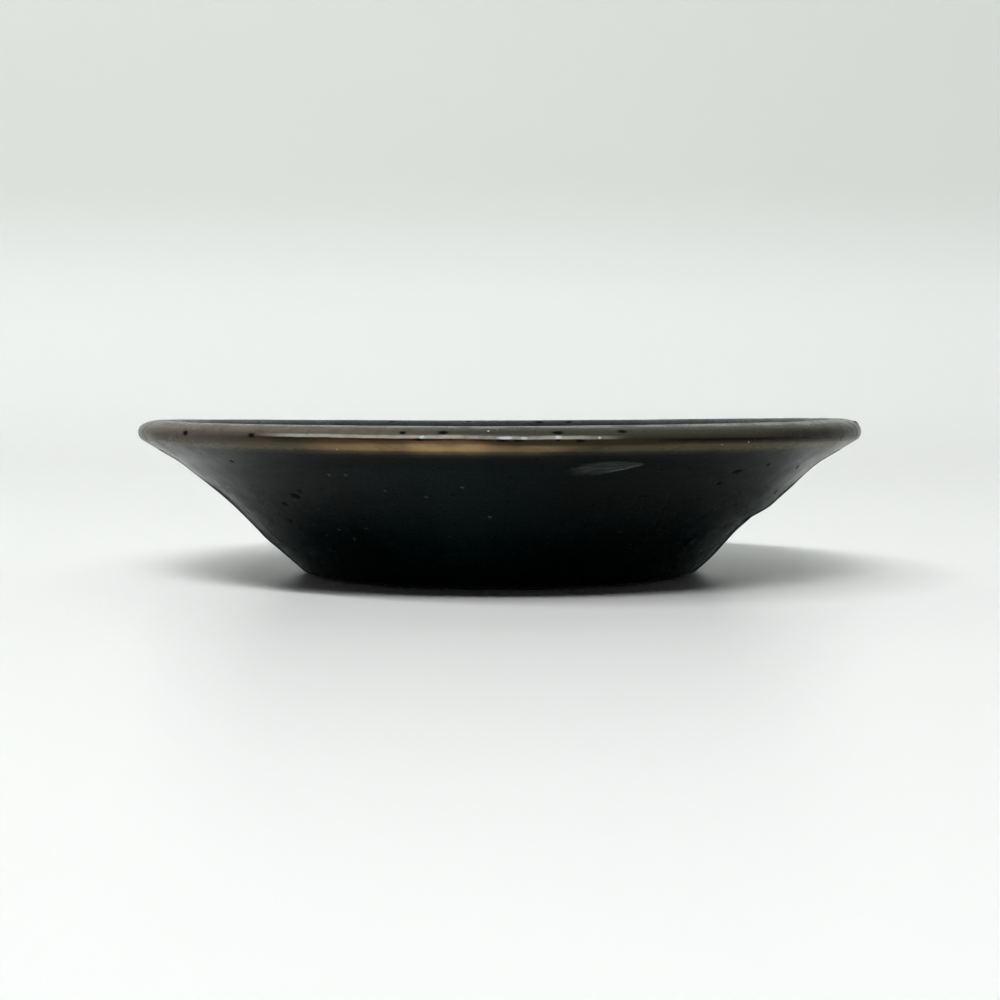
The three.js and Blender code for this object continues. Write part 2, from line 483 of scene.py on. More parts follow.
def dots(wiring, place, gap, edge, core, bare, full):
    """Scattered dots, soft from edge to core. Each has a random number, and shows from bare to full by it."""
    node = wiring.add("ShaderNodeTexVoronoi", {"Vector": place, "Scale": 1 / gap})
    number = wiring.made("ShaderNodeSeparateColor", {0: node.outputs["Color"]})
    return wiring.times(wiring.fade(node.outputs["Distance"], edge, core), wiring.fade(number, bare, full))


def stoneware_finish():
    """Bare fired clay: brown, with pale grog and fine lines from the turning tool, and darker towards its
    outer edge, next to the glaze.
    """
    material, shader, wiring, place = new_finish("stoneware", IOR=CLAY_IOR)
    radius = radius_of(wiring, place)
    cloudy = mixed(wiring, wiring.patches(place, **CLAY_CLOUD), CLAY_DARK, CLAY)
    grog = dots(wiring, place, **GROG_DOTS)
    edge_dark = wiring.fade(radius, EDGE_DARK_FROM, EDGE_DARK_TO)
    lines = wiring.noise(wiring.made("ShaderNodeCombineXYZ", {"X": radius}), TOOL_LINE_GAP)
    height = wiring.total(lines, wiring.noise(place, **CLAY_GRAIN), grog)
    bump = wiring.made("ShaderNodeBump", {"Height": height, **CLAY_BUMP})
    wiring.feed(shader, {
        "Base Color": layered(wiring, cloudy, (grog, GROG), (edge_dark, CLAY_EDGE_DARK)),
        "Roughness": wiring.patches(place, **CLAY_ROUGHNESS),
        "Normal": bump,
    })
    return material


stoneware = stoneware_finish()
CLAY_STEP = 0.6  # between the rings of points
BOWL_TURNS = 400  # points in a ring
seat_edge = at_height(foot_edge + into_wall * glaze_thickness, wall_way, seat_height)
clay_face = under([*inside_face, *lip_face[1:], *outside_face[1:]], glaze_thickness)
bowl_line = [point for point in clay_face if point.y > seat_height] + [seat_edge, Vector((0, seat_height))]
bowl_outline = [(point, 0.0, 0.0) for point in evenly(bowl_line, CLAY_STEP)]
bowl = turn("bowl", "clay_bowl", bowl_outline, BOWL_TURNS, stoneware, NO_RELIEF)

# The foot ring
# A low ring of the same clay, luted under the bowl and turned true. The dish stands on its flat face, which
# is wiped free of glaze so that it does not stick to the shelf of the kiln.
FOOT_WIDTH = 6
EDGE_RADIUS = 0.2  # worn edges of the ring
RING_STEP = 0.3
RING_TURNS = 600

recess_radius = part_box("foot_well_glaze")[1].x / MM
recess_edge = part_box("foot_well_glaze")[0].z / MM
bearing_edge = at_height(seat_edge, wall_way, 0)
ring_corners = [
    Vector((recess_radius, seat_height)),
    Vector((recess_radius, recess_edge)),
    Vector((bearing_edge.x - FOOT_WIDTH, 0)),
    bearing_edge,
    seat_edge,
]


def rounded(corners, radius):
    """A closed outline with its corners rounded."""
    path = []
    for before, corner, after in zip(corners[-1:] + corners, corners, corners[1:] + corners[:1]):
        path += round_corner(corner, (corner - before).normalized(), (after - corner).normalized(), radius)
    return path


ring_line = rounded(ring_corners, EDGE_RADIUS)
ring_points = evenly(ring_line + ring_line[:1], RING_STEP)[:-1]
ring_outline = [(point, 0.0, 0.0) for point in ring_points[::-1]]
foot_ring = turn("foot_ring_clay", "foot_ring", ring_outline, RING_TURNS, stoneware, NO_RELIEF)

# The glaze in the recess
# The same black glaze as on the bowl, poured into the shallow recess inside the foot ring: a thin cup with a
# soft inner corner, whose rim stops short of the bearing face.
BLUE_BLACK = (0.0012, 0.0050, 0.0048, 1)
BROWN_BLACK = (0.0018, 0.0040, 0.0040, 1)
SPECK = (0.06, 0.065, 0.06, 1)
# a lighter film, partly a painted reflection of the lit table
FILM_AND_SHEEN = (0.037, 0.044, 0.038, 1)
# pale of chips and nicks, partly a painted glint of the lamp
NICK_AND_GLINT = (0.5, 0.49, 0.45, 1)
# dark of pits, and also the painted shadow just under the pale flecks on the edge
PIT_AND_SHADOW = (0.003, 0.003, 0.003, 1)
GLAZE_IOR = 1.13  # a satin glaze, dull face on and pale only where it is seen aslant
GLAZE_BLOOM = 0.04  # faint blue green haze
BLOOM_TINT = (0.4, 1.0, 0.96, 1)
BLOOM_ROUGHNESS = 0.3
POOL_GLOSS = 0.3  # where the glaze lies thick
POOL_REACH = 36 * MM
POOL_CLOUD = {"size": 0.007, "detail": 3.0, "start": 0.3, "end": 0.6, "low": 0.6, "high": 1.0}
GLOSS_ROUGHNESS = 0.14
BLACK_CLOUD = {"size": 0.008, "detail": 4.0, "start": 0.38, "end": 0.68}
SPECK_DOTS = {"gap": 0.0016, "edge": 0.13, "core": 0.06, "bare": 0.94, "full": 0.96}
SATIN = {"size": 0.0035, "detail": 3.0, "start": 0.3, "end": 0.7, "low": 0.2, "high": 0.34}
PINHOLE_DOTS = {"gap": 0.0009, "edge": 0.3, "core": 0.12, "bare": 0.86, "full": 0.92}
GLAZE_GRAIN = {"size": 0.00022, "detail": 1.0}
GLAZE_BUMP = {"Strength": 1.0, "Distance": 0.00006}
# films and nicks are pale partly as painted glints
PITTED = (-0.1, -0.7)  # tones of a mark between which it comes to show as a pit, a film or a nick
FILM_AND_SHEEN_TONES = (0.12, 0.38)
NICK_AND_GLINT_TONES = (0.5, 0.9)


def black_colour(wiring, place):
    """Iron black, cloudy blue and brown, with a few pale specks."""
    colour = mixed(wiring, wiring.patches(place, **BLACK_CLOUD), BLUE_BLACK, BROWN_BLACK)
    return mixed(wiring, dots(wiring, place, **SPECK_DOTS), colour, SPECK)


def pool_gloss(wiring, place):
    """The glaze is glassy where it pools, towards the middle."""
    pooled = wiring.fade(radius_of(wiring, place), POOL_REACH, POOL_REACH / 2, 0.0, POOL_GLOSS)
    return wiring.times(pooled, wiring.patches(place, **POOL_CLOUD))


def satin(wiring, place):
    """The roughness of the glaze, a little cloudy."""
    return wiring.patches(place, **SATIN)


def kept_value(wiring, name):
    """The number that each point of the mesh keeps under a name, in a finish."""
    return wiring.add("ShaderNodeAttribute", attribute_name=name).outputs["Fac"]


def glaze_finish(name, colour_from, bloom, roughness_from=satin, gloss_from=None):
    """Satin glaze: fine grain, pinholes, and the tones of its marks over a colour of its own."""
    material, shader, wiring, place = new_finish(name, IOR=GLAZE_IOR)
    tone = kept_value(wiring, "tone")
    pitted, film_and_sheen, nick_and_glint = (wiring.fade(tone, *tones) for tones in (PITTED, FILM_AND_SHEEN_TONES, NICK_AND_GLINT_TONES))
    colour = layered(wiring, colour_from(wiring, place), (pitted, PIT_AND_SHADOW), (film_and_sheen, FILM_AND_SHEEN), (nick_and_glint, NICK_AND_GLINT))
    pinhole = dots(wiring, place, **PINHOLE_DOTS)
    height = wiring.maths("SUBTRACT", wiring.noise(place, **GLAZE_GRAIN), pinhole)
    bump = wiring.made("ShaderNodeBump", {"Height": height, **GLAZE_BUMP})
    wiring.feed(shader, {
        "Base Color": colour,
        "Roughness": wiring.maths("MAXIMUM", roughness_from(wiring, place), pitted),
        "Normal": bump,
        "Sheen Weight": bloom,
        "Sheen Tint": BLOOM_TINT,
        "Sheen Roughness": BLOOM_ROUGHNESS,
    })
    if gloss_from:
        wiring.feed(shader, {"Coat Weight": gloss_from(wiring, place), "Coat Roughness": GLOSS_ROUGHNESS})
    return material


black_glaze = glaze_finish("black_glaze", black_colour, GLAZE_BLOOM, gloss_from=pool_gloss)
RECESS_CORNER = 0.5
RECESS_STEP = 0.4
HIDDEN_STEP = 1.6  # on the side that lies on the clay
GLAZE_RELIEF = {"Ripple": 0.008 * MM, "Peel": 0.006 * MM}

recess_ceiling = seat_height - glaze_thickness
recess_wall = recess_radius - glaze_thickness
recess_bead = Vector((recess_radius - glaze_thickness / 2, recess_edge + glaze_thickness / 2))
recess_shown = [
    Vector((0, recess_ceiling)),
    *round_corner(Vector((recess_wall, recess_ceiling)), direction(0), direction(-QUARTER), RECESS_CORNER),
    *arc(recess_bead, glaze_thickness / 2, -math.pi, 0),
]
recess_hidden = [recess_shown[-1], Vector((recess_radius, seat_height)), Vector((0, seat_height))]


def outline_of(shown, hidden, top_place, step, hidden_step):
    """An outline from a side that shows, with places along the face, and a side that lies on the clay."""
    points = evenly(shown, step)
    outline = []
    place = top_place
    for i, point in enumerate(points):
        place -= (point - points[i - 1]).length if i else 0
        outline.append((point, place, 1.0))
    return outline + [(point, place, 0.0) for point in evenly(hidden, hidden_step)[1:]]


recess_outline = outline_of(recess_shown, recess_hidden, 0.0, RECESS_STEP, HIDDEN_STEP)[::-1]
recess_coat = turn("recess_coat", "foot_well_glaze", recess_outline, RING_TURNS, black_glaze, GLAZE_RELIEF)

# The glaze inside
# Black glaze over the floor and the inner wall, poured in, swilled round and poured out. It covers the faint
# rings of the forming and has a few pinholes.
INSIDE_STEP = 0.5
INSIDE_TURNS = 700
lip_top = NOSE_RADIUS * NOSE_TURN + CREST_RADIUS * (inner_angle + QUARTER - NOSE_TURN) + BRONZE_INSIDE
lip_bottom = -NOSE_RADIUS * (QUARTER - FLARE_ANGLE) - BRONZE_OUTSIDE
CLEAR_OF_MARK = 4  # half-lengths of a mark that other marks keep away from it
INSIDE_PINHOLES = 70
LIP_MARGIN = 1  # free of pinholes, next to the glaze on the lip
MIDDLE_MARGIN = 3
PINHOLE_SIZES = (0.16, 0.4)
PINHOLE_DEPTHS = (-0.06, -0.02)
PINHOLE_TONE = -0.8
SEED = 7
chance = random.Random(SEED)


def marks_on(name, face, top_place, marks):
    """Points on a face that carry the marks. A mark is a bearing in degrees and a place along the face, then
    half its length and half its width, its slant in degrees, its lift, and its tone, dark if below nought."""
    bearings, places, lengths, widths, slants, lifts, tones = zip(*marks)
    points = []
    for bearing, place in zip(bearings, places):
        ahead = top_place - place
        for a, b in zip(face, face[1:]):
            stretch = (b - a).length
            if ahead <= stretch:
                break
            ahead -= stretch
        spot = a.lerp(b, ahead / stretch)
        points.append(by_bearing(bearing, spot.x, spot.y) * MM)
    spots = bpy.data.meshes.new(name)
    spots.from_pydata(points, [], [])
    spreads = [size for spread in zip(lengths, widths, map(math.radians, slants)) for size in spread]
    spots.attributes.new("spread", "FLOAT_VECTOR", "POINT").data.foreach_set("vector", spreads)
    for attribute, values in {"place": places, "lift": lifts, "tone": tones}.items():
        keep_values(spots, attribute, values)
    return new_object(name, spots)


def pinholes(count, low, high, tone=PINHOLE_TONE, placed=()):
    """Small dark pits scattered over a stretch of the face, clear of the marks that are listed."""
    marks = []
    while len(marks) < count:
        bearing = chance.uniform(-180, 180)
        place = chance.uniform(low, high)
        size = chance.uniform(*PINHOLE_SIZES)
        depth = chance.uniform(*PINHOLE_DEPTHS)
        clear = True
        for other_bearing, other_place, half_length, *_ in placed:
            sideways = math.radians(bearing - other_bearing) * rim_radius
            clear = clear and math.hypot(sideways, place - other_place) > CLEAR_OF_MARK * half_length
        if clear:
            marks.append((bearing, place, size, size, 0, depth, tone))
    return marks


inside_top = lip_top + length_of(inside_face)
inside_marks = pinholes(INSIDE_PINHOLES, lip_top + LIP_MARGIN, inside_top - MIDDLE_MARGIN)
inside_spots = marks_on("inside_spots", inside_face, inside_top, inside_marks)
inside_outline = outline_of(
    inside_face, under(inside_face, glaze_thickness)[::-1], inside_top, INSIDE_STEP, HIDDEN_STEP)
inside_coat = turn(
    "inside_coat", "inside_glaze", inside_outline, INSIDE_TURNS, black_glaze, GLAZE_RELIEF, inside_spots)

# The glaze on the lip
# Here the glaze runs thin as it melts, and breaks to bronze brown under the edge, more in some stretches than
# in others. The edge is glassy and chipped, pale with wear in stretches, with a painted highlight laid into
# that pale, pale flecks that are partly painted glints over painted shadows, and a painted shade line under
# it.
# The crest is a dull grey brown that passes into black inside, with a pale line along it that is partly wear
# and partly painted reflection.
LIP_STEP = 0.2
LIP_TURNS = 1200
LIP_PINHOLES = 36
LIP_PINHOLE_SPAN = (0.6, 7.5)
LIP_PINHOLE_TONE = -0.5
BRONZE = (0.36, 0.24, 0.11, 1)
BRONZE_RED = (0.13, 0.07, 0.03, 1)
BRONZE_DULL = (0.03, 0.022, 0.013, 1)
BRONZE_DARK = (0.09, 0.066, 0.036, 1)
BRONZE_FAINT = (0.018, 0.015, 0.01, 1)
OLIVE_SHARE = (0.18, 0.24, 0.28, 1)  # of the bronze, where it is dull
# a dark line just under the edge, painted shade below the nose
EDGE_SHADE = (0.015, 0.012, 0.009, 1)
# the edge pale with wear, and paler still as a painted highlight of the lamp
EDGE_WEAR_AND_GLINT = (0.30, 0.295, 0.245, 1)
BEVEL_LOW = (0.027, 0.027, 0.018, 1)
BEVEL_MIDDLE = (0.041, 0.041, 0.030, 1)
BEVEL = (0.062, 0.063, 0.050, 1)
BEVEL_WARM = (0.107, 0.090, 0.070, 1)
# a pale line on the crest, partly glaze rubbed thin and partly a painted reflection of the backdrop seen
# aslant
CREST_WEAR_AND_SHEEN = (0.165, 0.162, 0.138, 1)
CREST_GREY = (0.027, 0.031, 0.032, 1)
EDGE_GLOSS = 0.2
SMOOTH_SHARE = 0.65  # of the roughness, under the lip
SMOOTH_UP_TO = -1.0

# Colours by their height on the lip, in millimetres along the face, up from the outermost line
BAND = [
    (-4.2, BLUE_BLACK),
    (-3.4, BRONZE_FAINT),
    (-2.7, BRONZE_DARK),
    (-1.75, BRONZE),
    (-0.9, BRONZE),
    (-0.4, BRONZE_RED),
    # the dark line at the edge, painted shade below the nose
    (-0.16, EDGE_SHADE),
    (0.04, EDGE_SHADE),
    (0.2, BEVEL_LOW),
    (0.9, BEVEL_MIDDLE),
    (1.9, BEVEL),
    # the crest's pale line, partly wear and partly painted reflection
    (2.3, CREST_WEAR_AND_SHEEN),
    (3.25, CREST_WEAR_AND_SHEEN),
    (3.55, CREST_GREY),
    (5.4, CREST_GREY),
    (8.0, BLUE_BLACK),
]

# Heights between which a colour comes in
RED_UNDER_EDGE = (-1.5, -0.7)
DULL_UNDER_EDGE = (-1.2, -0.5)
ABOVE_EDGE = (-0.02, 0.08)
ON_CREST = (1.7, 2.3)
RUBBED_CREST = (3.2, 3.9)
INNER_LIMIT = (3.6, 5.2)

# Heights between which a colour comes in, and then between which it goes out
# the dark line: the span of the painted shade under the edge
DARK_LINE = (-1.6, -0.5, 0.2, 0.9)
BROAD_LINE = (-0.2, 0.1, 0.5, 1.3)
WEAR_AND_GLINT_LINE = (-0.02, 0.1, 0.3, 0.6)
ON_BEVEL = (0.1, 0.9, 1.7, 2.2)

# How the colours are broken up, and how far their limits waver: a size in metres, a height and a detail
RED_STREAKS = {"size": 0.006, "detail": 3.0, "start": 0.45, "end": 0.65, "high": 0.6}
STREAK_SHAPE = (1, 1, 3)
THIN_PATCHES = {"size": 0.008, "detail": 3.0, "start": 0.3, "end": 0.5, "low": 0.6, "high": 1.0}
WEAR_AND_GLINT_PATCHES = {"size": 0.003, "detail": 3.0, "start": 0.3, "end": 0.55, "low": 0.55, "high": 1.0}
BEVEL_MOTTLE = {"size": 0.003, "detail": 4.0, "start": 0.55, "end": 0.35, "high": 0.5}
CREST_BREAKS = {"size": 0.0045, "detail": 5.0, "start": 0.48, "end": 0.66, "high": 0.6}
CREST_RUBS = {"size": 0.005, "detail": 4.0, "start": 0.62, "end": 0.42, "high": 0.5}
FINE_WAVER = (0.002, 0.04)
BROAD_WAVER = (0.011, 0.06)
CREST_WAVER = (0.004, 0.22, 3.0)
INNER_WAVER = (0.006, 0.8, 4.0)
EDGE_SLANT = 0.3  # how far the edge's line runs up towards the left

# Stretches of the lip: a bearing, half of the full and of the whole width in degrees, and a strength
BRONZE_STRETCHES = [
    (-7, 2, 8, 1.0),
    (-8.5, 10, 21, 0.5),
    (124, 6, 22, 0.9),
    (178, 4, 16, 0.7),
    (-120, 10, 34, 0.8),
]
DULL_STRETCHES = [(11, 6, 15, 0.9), (-24, 2, 7, 0.4), (132, 3, 10, 0.8), (-112, 4, 9, 0.7)]
# where the edge is pale with wear and a painted highlight
WEAR_AND_GLINT_STRETCHES = [(-9, 17, 27, 1), (98, 5, 14, 1), (143, 10, 20, 1), (-102, 9, 18, 1), (-152, 12, 22, 1)]
WARM_STRETCHES = [(-46, 22, 44, 1), (160, 20, 45, 1)]
# where the painted shade under the edge is faint, and where it is broad
FAINT_STRETCHES = [(-62, 8, 36, 0.6), (110, 10, 34, 0.5), (-130, 8, 30, 0.5)]  # of the dark line
BROAD_STRETCHES = [(64, 10, 28, 0.8)]

# Spots on the edge: a bearing, a height on the lip, half the length and half the height
SPOT_EDGE = 1.2  # from its edge to its core a spot is soft and ragged, in shares of its size
SPOT_CORE = 0.6
RAGGED_SPOT = (0.0006, 0.3)
# pale flecks on the edge: chips, partly painted glints of the lamp
PALE_GLINT_FLECKS = [
    (-10.1, 0.24, 0.35, 0.2),
    (0.65, 0.24, 0.9, 0.2),
    (3.15, 0.2, 0.5, 0.17),
    (7.6, 0.24, 0.36, 0.22),
    (13.0, 0.22, 0.18, 0.14),
    (-1.5, 1.25, 0.17, 0.16),
    (31.5, -0.9, 0.12, 0.1),
    (36.0, -0.5, 0.11, 0.09),
    (-22.5, -2.0, 0.14, 0.12),
    (104, 0.22, 0.7, 0.2),
    (141, 0.2, 0.9, 0.2),
    (149, 0.2, 0.4, 0.2),
    (-99, 0.24, 0.6, 0.2),
    (-157, 0.22, 0.8, 0.2),
]
# dark spots just under the pale flecks: painted shadows
NICK_SHADOWS = [
    (-10.5, -0.1, 0.6, 0.2),
    (0.3, -0.12, 0.7, 0.22),
    (2.5, -0.1, 0.8, 0.2),
    (7.5, -0.1, 0.3, 0.16),
    (10.4, -0.2, 0.6, 0.22),
    (100, -0.1, 0.5, 0.2),
    (144, -0.1, 0.7, 0.2),
    (-154, -0.1, 0.6, 0.2),
]

# Pits in the lip, and the nub at its right end
LIP_MARKS = [
    (-12.7, 0.9, 0.5, 0.3, 0, -0.03, -0.9),
    (-7.3, 0.95, 0.7, 0.35, 0, -0.03, -0.9),
    (7.6, 0.9, 0.8, 0.3, 0, -0.03, -0.9),
    (16.3, 1.0, 0.7, 0.3, 0, -0.03, -0.9),
    (-50.5, 0.4, 0.7, 0.4, 0, -0.03, -0.9),
    (-35.7, 0.3, 0.6, 0.35, 0, -0.03, -0.9),
    (77.3, 1.5, 0.6, 0.45, 0, 0.2, -1.4),
    (171.6, 5.3, 0.9, 0.5, 0, -0.03, -0.9),
    (165.3, 5.3, 0.8, 0.5, 0, -0.03, -0.9),
    (-173.6, 4.7, 0.7, 0.5, 0, -0.03, -0.7),
    (-157.3, 4.9, 0.9, 0.5, 0, -0.03, -0.7),
]


def along_lip(wiring, place):
    """The height on the lip, slanted and wavering a little."""
    slant = wiring.vectors("DOT_PRODUCT", place, (EDGE_SLANT / (rim_radius * MM), 0, 0))
    wavers = [wiring.uneven(place, *waver) for waver in (FINE_WAVER, BROAD_WAVER)]
    return wiring.total(kept_value(wiring, "place"), slant, *wavers)


def bearing_of(wiring, place):
    """The level direction from the axis to each point."""
    return wiring.vectors("NORMALIZE", wiring.vectors("MULTIPLY", place, LEVEL))


def within(wiring, place, stretches):
    """How far each point is within the stretches."""
    outwards = bearing_of(wiring, place)
    most = 0.0
    for bearing, full, whole, strength in stretches:
        facing = wiring.vectors("DOT_PRODUCT", outwards, by_bearing(bearing, 1, 0))
        start, end = (math.cos(math.radians(half)) for half in (whole, full))
        most = wiring.maths("MAXIMUM", wiring.fade(facing, start, end, 0.0, strength), most)
    return most


def between(wiring, along, heights):
    """How far each point is between the heights at which a colour comes in and goes out."""
    first, in_full, last_full, last = heights
    return wiring.times(wiring.fade(along, first, in_full), wiring.fade(along, last, last_full))


def root_of_squares(wiring, first, second):
    squares = wiring.total(wiring.times(first, first), wiring.times(second, second))
    return wiring.maths("SQRT", squares)


def spots_on_lip(wiring, place, along, spots):
    """How far each point is within small ragged spots."""
    ragged = wiring.uneven(place, *RAGGED_SPOT)
    outwards = bearing_of(wiring, place)
    most = 0.0
    for bearing, height, half_length, half_height in spots:
        apart = wiring.vectors("LENGTH", wiring.vectors("SUBTRACT", outwards, by_bearing(bearing, 1, 0)))
        sideways = wiring.times(apart, rim_radius / half_length)
        upwards = wiring.maths("DIVIDE", wiring.maths("SUBTRACT", along, height), half_height)
        far = wiring.total(root_of_squares(wiring, sideways, upwards), ragged)
        most = wiring.maths("MAXIMUM", wiring.fade(far, SPOT_EDGE, SPOT_CORE), most)
    return most


def edge_wear_and_glint(wiring, place, along):
    """How far the edge is pale with wear and with a painted highlight of the lamp."""
    on_edge = between(wiring, along, WEAR_AND_GLINT_LINE)
    return wiring.times(on_edge, wiring.patches(place, **WEAR_AND_GLINT_PATCHES), within(wiring, place, WEAR_AND_GLINT_STRETCHES))


def by_height(wiring, along, colours):
    """Colours that pass into one another at given heights on the lip."""
    ramp = wiring.add("ShaderNodeValToRGB")
    ramp.color_ramp.interpolation = "EASE"
    lowest, highest = colours[0][0], colours[-1][0]
    stops = ramp.color_ramp.elements
    while len(stops) < len(colours):
        stops.new(1.0)
    for stop, (height, colour) in zip(stops, colours):
        stop.position = (height - lowest) / (highest - lowest)
        stop.color = colour
    share = wiring.maths("DIVIDE", wiring.maths("SUBTRACT", along, lowest), highest - lowest)
    wiring.feed(ramp, {0: share})
    return ramp.outputs[0]


def lip_colour(wiring, place):
    """The colours of the lip, from black outside, over the bronze band and the edge, to black inside, with
    painted light and shade at the edge and on the crest.
    """
    along = along_lip(wiring, place)
    on_crest = wiring.fade(along, *ON_CREST)
    crest_waver = wiring.times(wiring.uneven(place, *CREST_WAVER), on_crest)
    inner_waver = wiring.times(wiring.uneven(place, *INNER_WAVER), wiring.fade(along, *INNER_LIMIT))
    ideal = by_height(wiring, wiring.total(along, crest_waver, inner_waver), BAND)
    bronze = within(wiring, place, BRONZE_STRETCHES)
    olive = mixed(wiring, 1.0, ideal, OLIVE_SHARE, blend="MULTIPLY")
    streaks = wiring.patches(wiring.vectors("MULTIPLY", place, STREAK_SHAPE), **RED_STREAKS)
    reddened = wiring.times(streaks, bronze, wiring.fade(along, *RED_UNDER_EDGE))
    dulled = wiring.times(within(wiring, place, DULL_STRETCHES), wiring.fade(along, *DULL_UNDER_EDGE))
    band = layered(wiring, olive, (bronze, ideal), (reddened, BRONZE_RED), (dulled, BRONZE_DULL))

    on_bevel = between(wiring, along, ON_BEVEL)
    warm = wiring.times(within(wiring, place, WARM_STRETCHES), on_bevel)
    mottled = wiring.times(wiring.patches(place, **BEVEL_MOTTLE), on_bevel)
    broken = wiring.times(wiring.patches(place, **CREST_BREAKS), on_crest)
    rubbed = wiring.times(wiring.patches(place, **CREST_RUBS), wiring.fade(along, *RUBBED_CREST))
    bevel = layered(wiring, ideal, (warm, BEVEL_WARM), (mottled, BEVEL_MIDDLE))
    crest = layered(wiring, bevel, (broken, CREST_GREY), (rubbed, BLUE_BLACK))

    above_edge = wiring.fade(along, *ABOVE_EDGE)
    faint = wiring.times(within(wiring, place, FAINT_STRETCHES), between(wiring, along, DARK_LINE))
    broad = wiring.times(within(wiring, place, BROAD_STRETCHES), between(wiring, along, BROAD_LINE))
    lip = layered(wiring, band, (above_edge, crest), (faint, BEVEL_WARM), (broad, EDGE_SHADE))
    thin = wiring.maths("MAXIMUM", above_edge, wiring.patches(place, **THIN_PATCHES))
    wear_and_glint = edge_wear_and_glint(wiring, place, along)
    nick_shadows, flecks = (spots_on_lip(wiring, place, along, spots) for spots in (NICK_SHADOWS, PALE_GLINT_FLECKS))
    black = black_colour(wiring, place)
    return layered(wiring, black, (thin, lip), (wear_and_glint, EDGE_WEAR_AND_GLINT), (nick_shadows, PIT_AND_SHADOW), (flecks, NICK_AND_GLINT))


def lip_satin(wiring, place):
    """The glaze is smoother on the lip's underside."""
    smoothed = wiring.fade(kept_value(wiring, "place"), lip_bottom, SMOOTH_UP_TO, SMOOTH_SHARE, 1.0)
    return wiring.times(satin(wiring, place), smoothed)


def lip_gloss(wiring, place):
    """The edge where it is pale with wear and painted highlight, and its flecks, are glassy."""
    along = along_lip(wiring, place)
    wear_and_glint = wiring.times(edge_wear_and_glint(wiring, place, along), EDGE_GLOSS)
    return wiring.maths("MAXIMUM", wear_and_glint, spots_on_lip(wiring, place, along, PALE_GLINT_FLECKS))


bronze_glaze = glaze_finish("bronze_glaze", lip_colour, 0.0, lip_satin, lip_gloss)
lip_marks = LIP_MARKS + pinholes(LIP_PINHOLES, *LIP_PINHOLE_SPAN, LIP_PINHOLE_TONE, LIP_MARKS)
lip_spots = marks_on("lip_spots", lip_face, lip_top, lip_marks)
lip_outline = outline_of(lip_face, under(lip_face, glaze_thickness)[::-1], lip_top, LIP_STEP, HIDDEN_STEP / 2)
lip_coat = turn("lip_coat", "rim_glaze", lip_outline, LIP_TURNS, bronze_glaze, GLAZE_RELIEF, lip_spots)

# The glaze outside
# The same black glaze over the outer wall, thin and bronze just under the lip, and on down over the foot ring
# to a soft bead just above the table. It has pinholes and specks, pale flecks on the flanks that are partly
# painted glints, and one smear that a finger left, paler partly as a painted reflection, with a painted
# highlight along its lower edge.
OUTSIDE_STEP = 0.28
OUTSIDE_TURNS = 800
OUTSIDE_PINHOLES = 60
LOWEST_PINHOLE = -27
# a painted highlight along the smear's lower edge
SMEAR_HIGHLIGHT = (0.085, 0.095, 0.085, 1)
SMEAR_BEARING = 15.6
SMEAR_PLACE = -6.2
SMEAR_HALF_LENGTH = 4.8
SMEAR_HALF_WIDTH = 1.5
SMEAR_RISE = 0.13  # towards the right
SMEAR_TAPER = 0.4
SMEAR_SIDE = (0.9, 0.95)  # keeps it to one side of the dish, as the cosine of the angle from its middle
SMEAR_RAGGED = (0.0012, 0.09)
SMEAR_EDGE_FROM = 1.06  # in shares of its size
SMEAR_SOFTNESS = {"start": -4.0, "end": 1.0, "low": 0.45, "high": 0.84}  # more at its left end
SMEAR_STREAKS = {"size": 1.0, "detail": 3.0, "start": 0.3, "end": 0.7, "low": 0.3, "high": 0.95}
STREAK_ALONG = 0.3
STREAK_ACROSS = 2.0
# a painted highlight where glaze is piled up along the smear's lower edge, at the right
HIGHLIGHT_NEAR_EDGE = (0.74, 0.88)  # the smear's lower edge is piled up at the right
HIGHLIGHT_BELOW = (-0.1, -0.5)
HIGHLIGHT_RIGHT = (0, 2)
DULL_EDGE = 0.75  # roughness of the wall where it turns away and its dust shows, mostly low down
DULL_BELOW = 12.5 * MM
SMOOTH_ABOVE = 15 * MM
DULL_START = (0.84, 0.92)  # how far the wall has turned away, low and high on it
DULL_END = (0.95, 0.98)

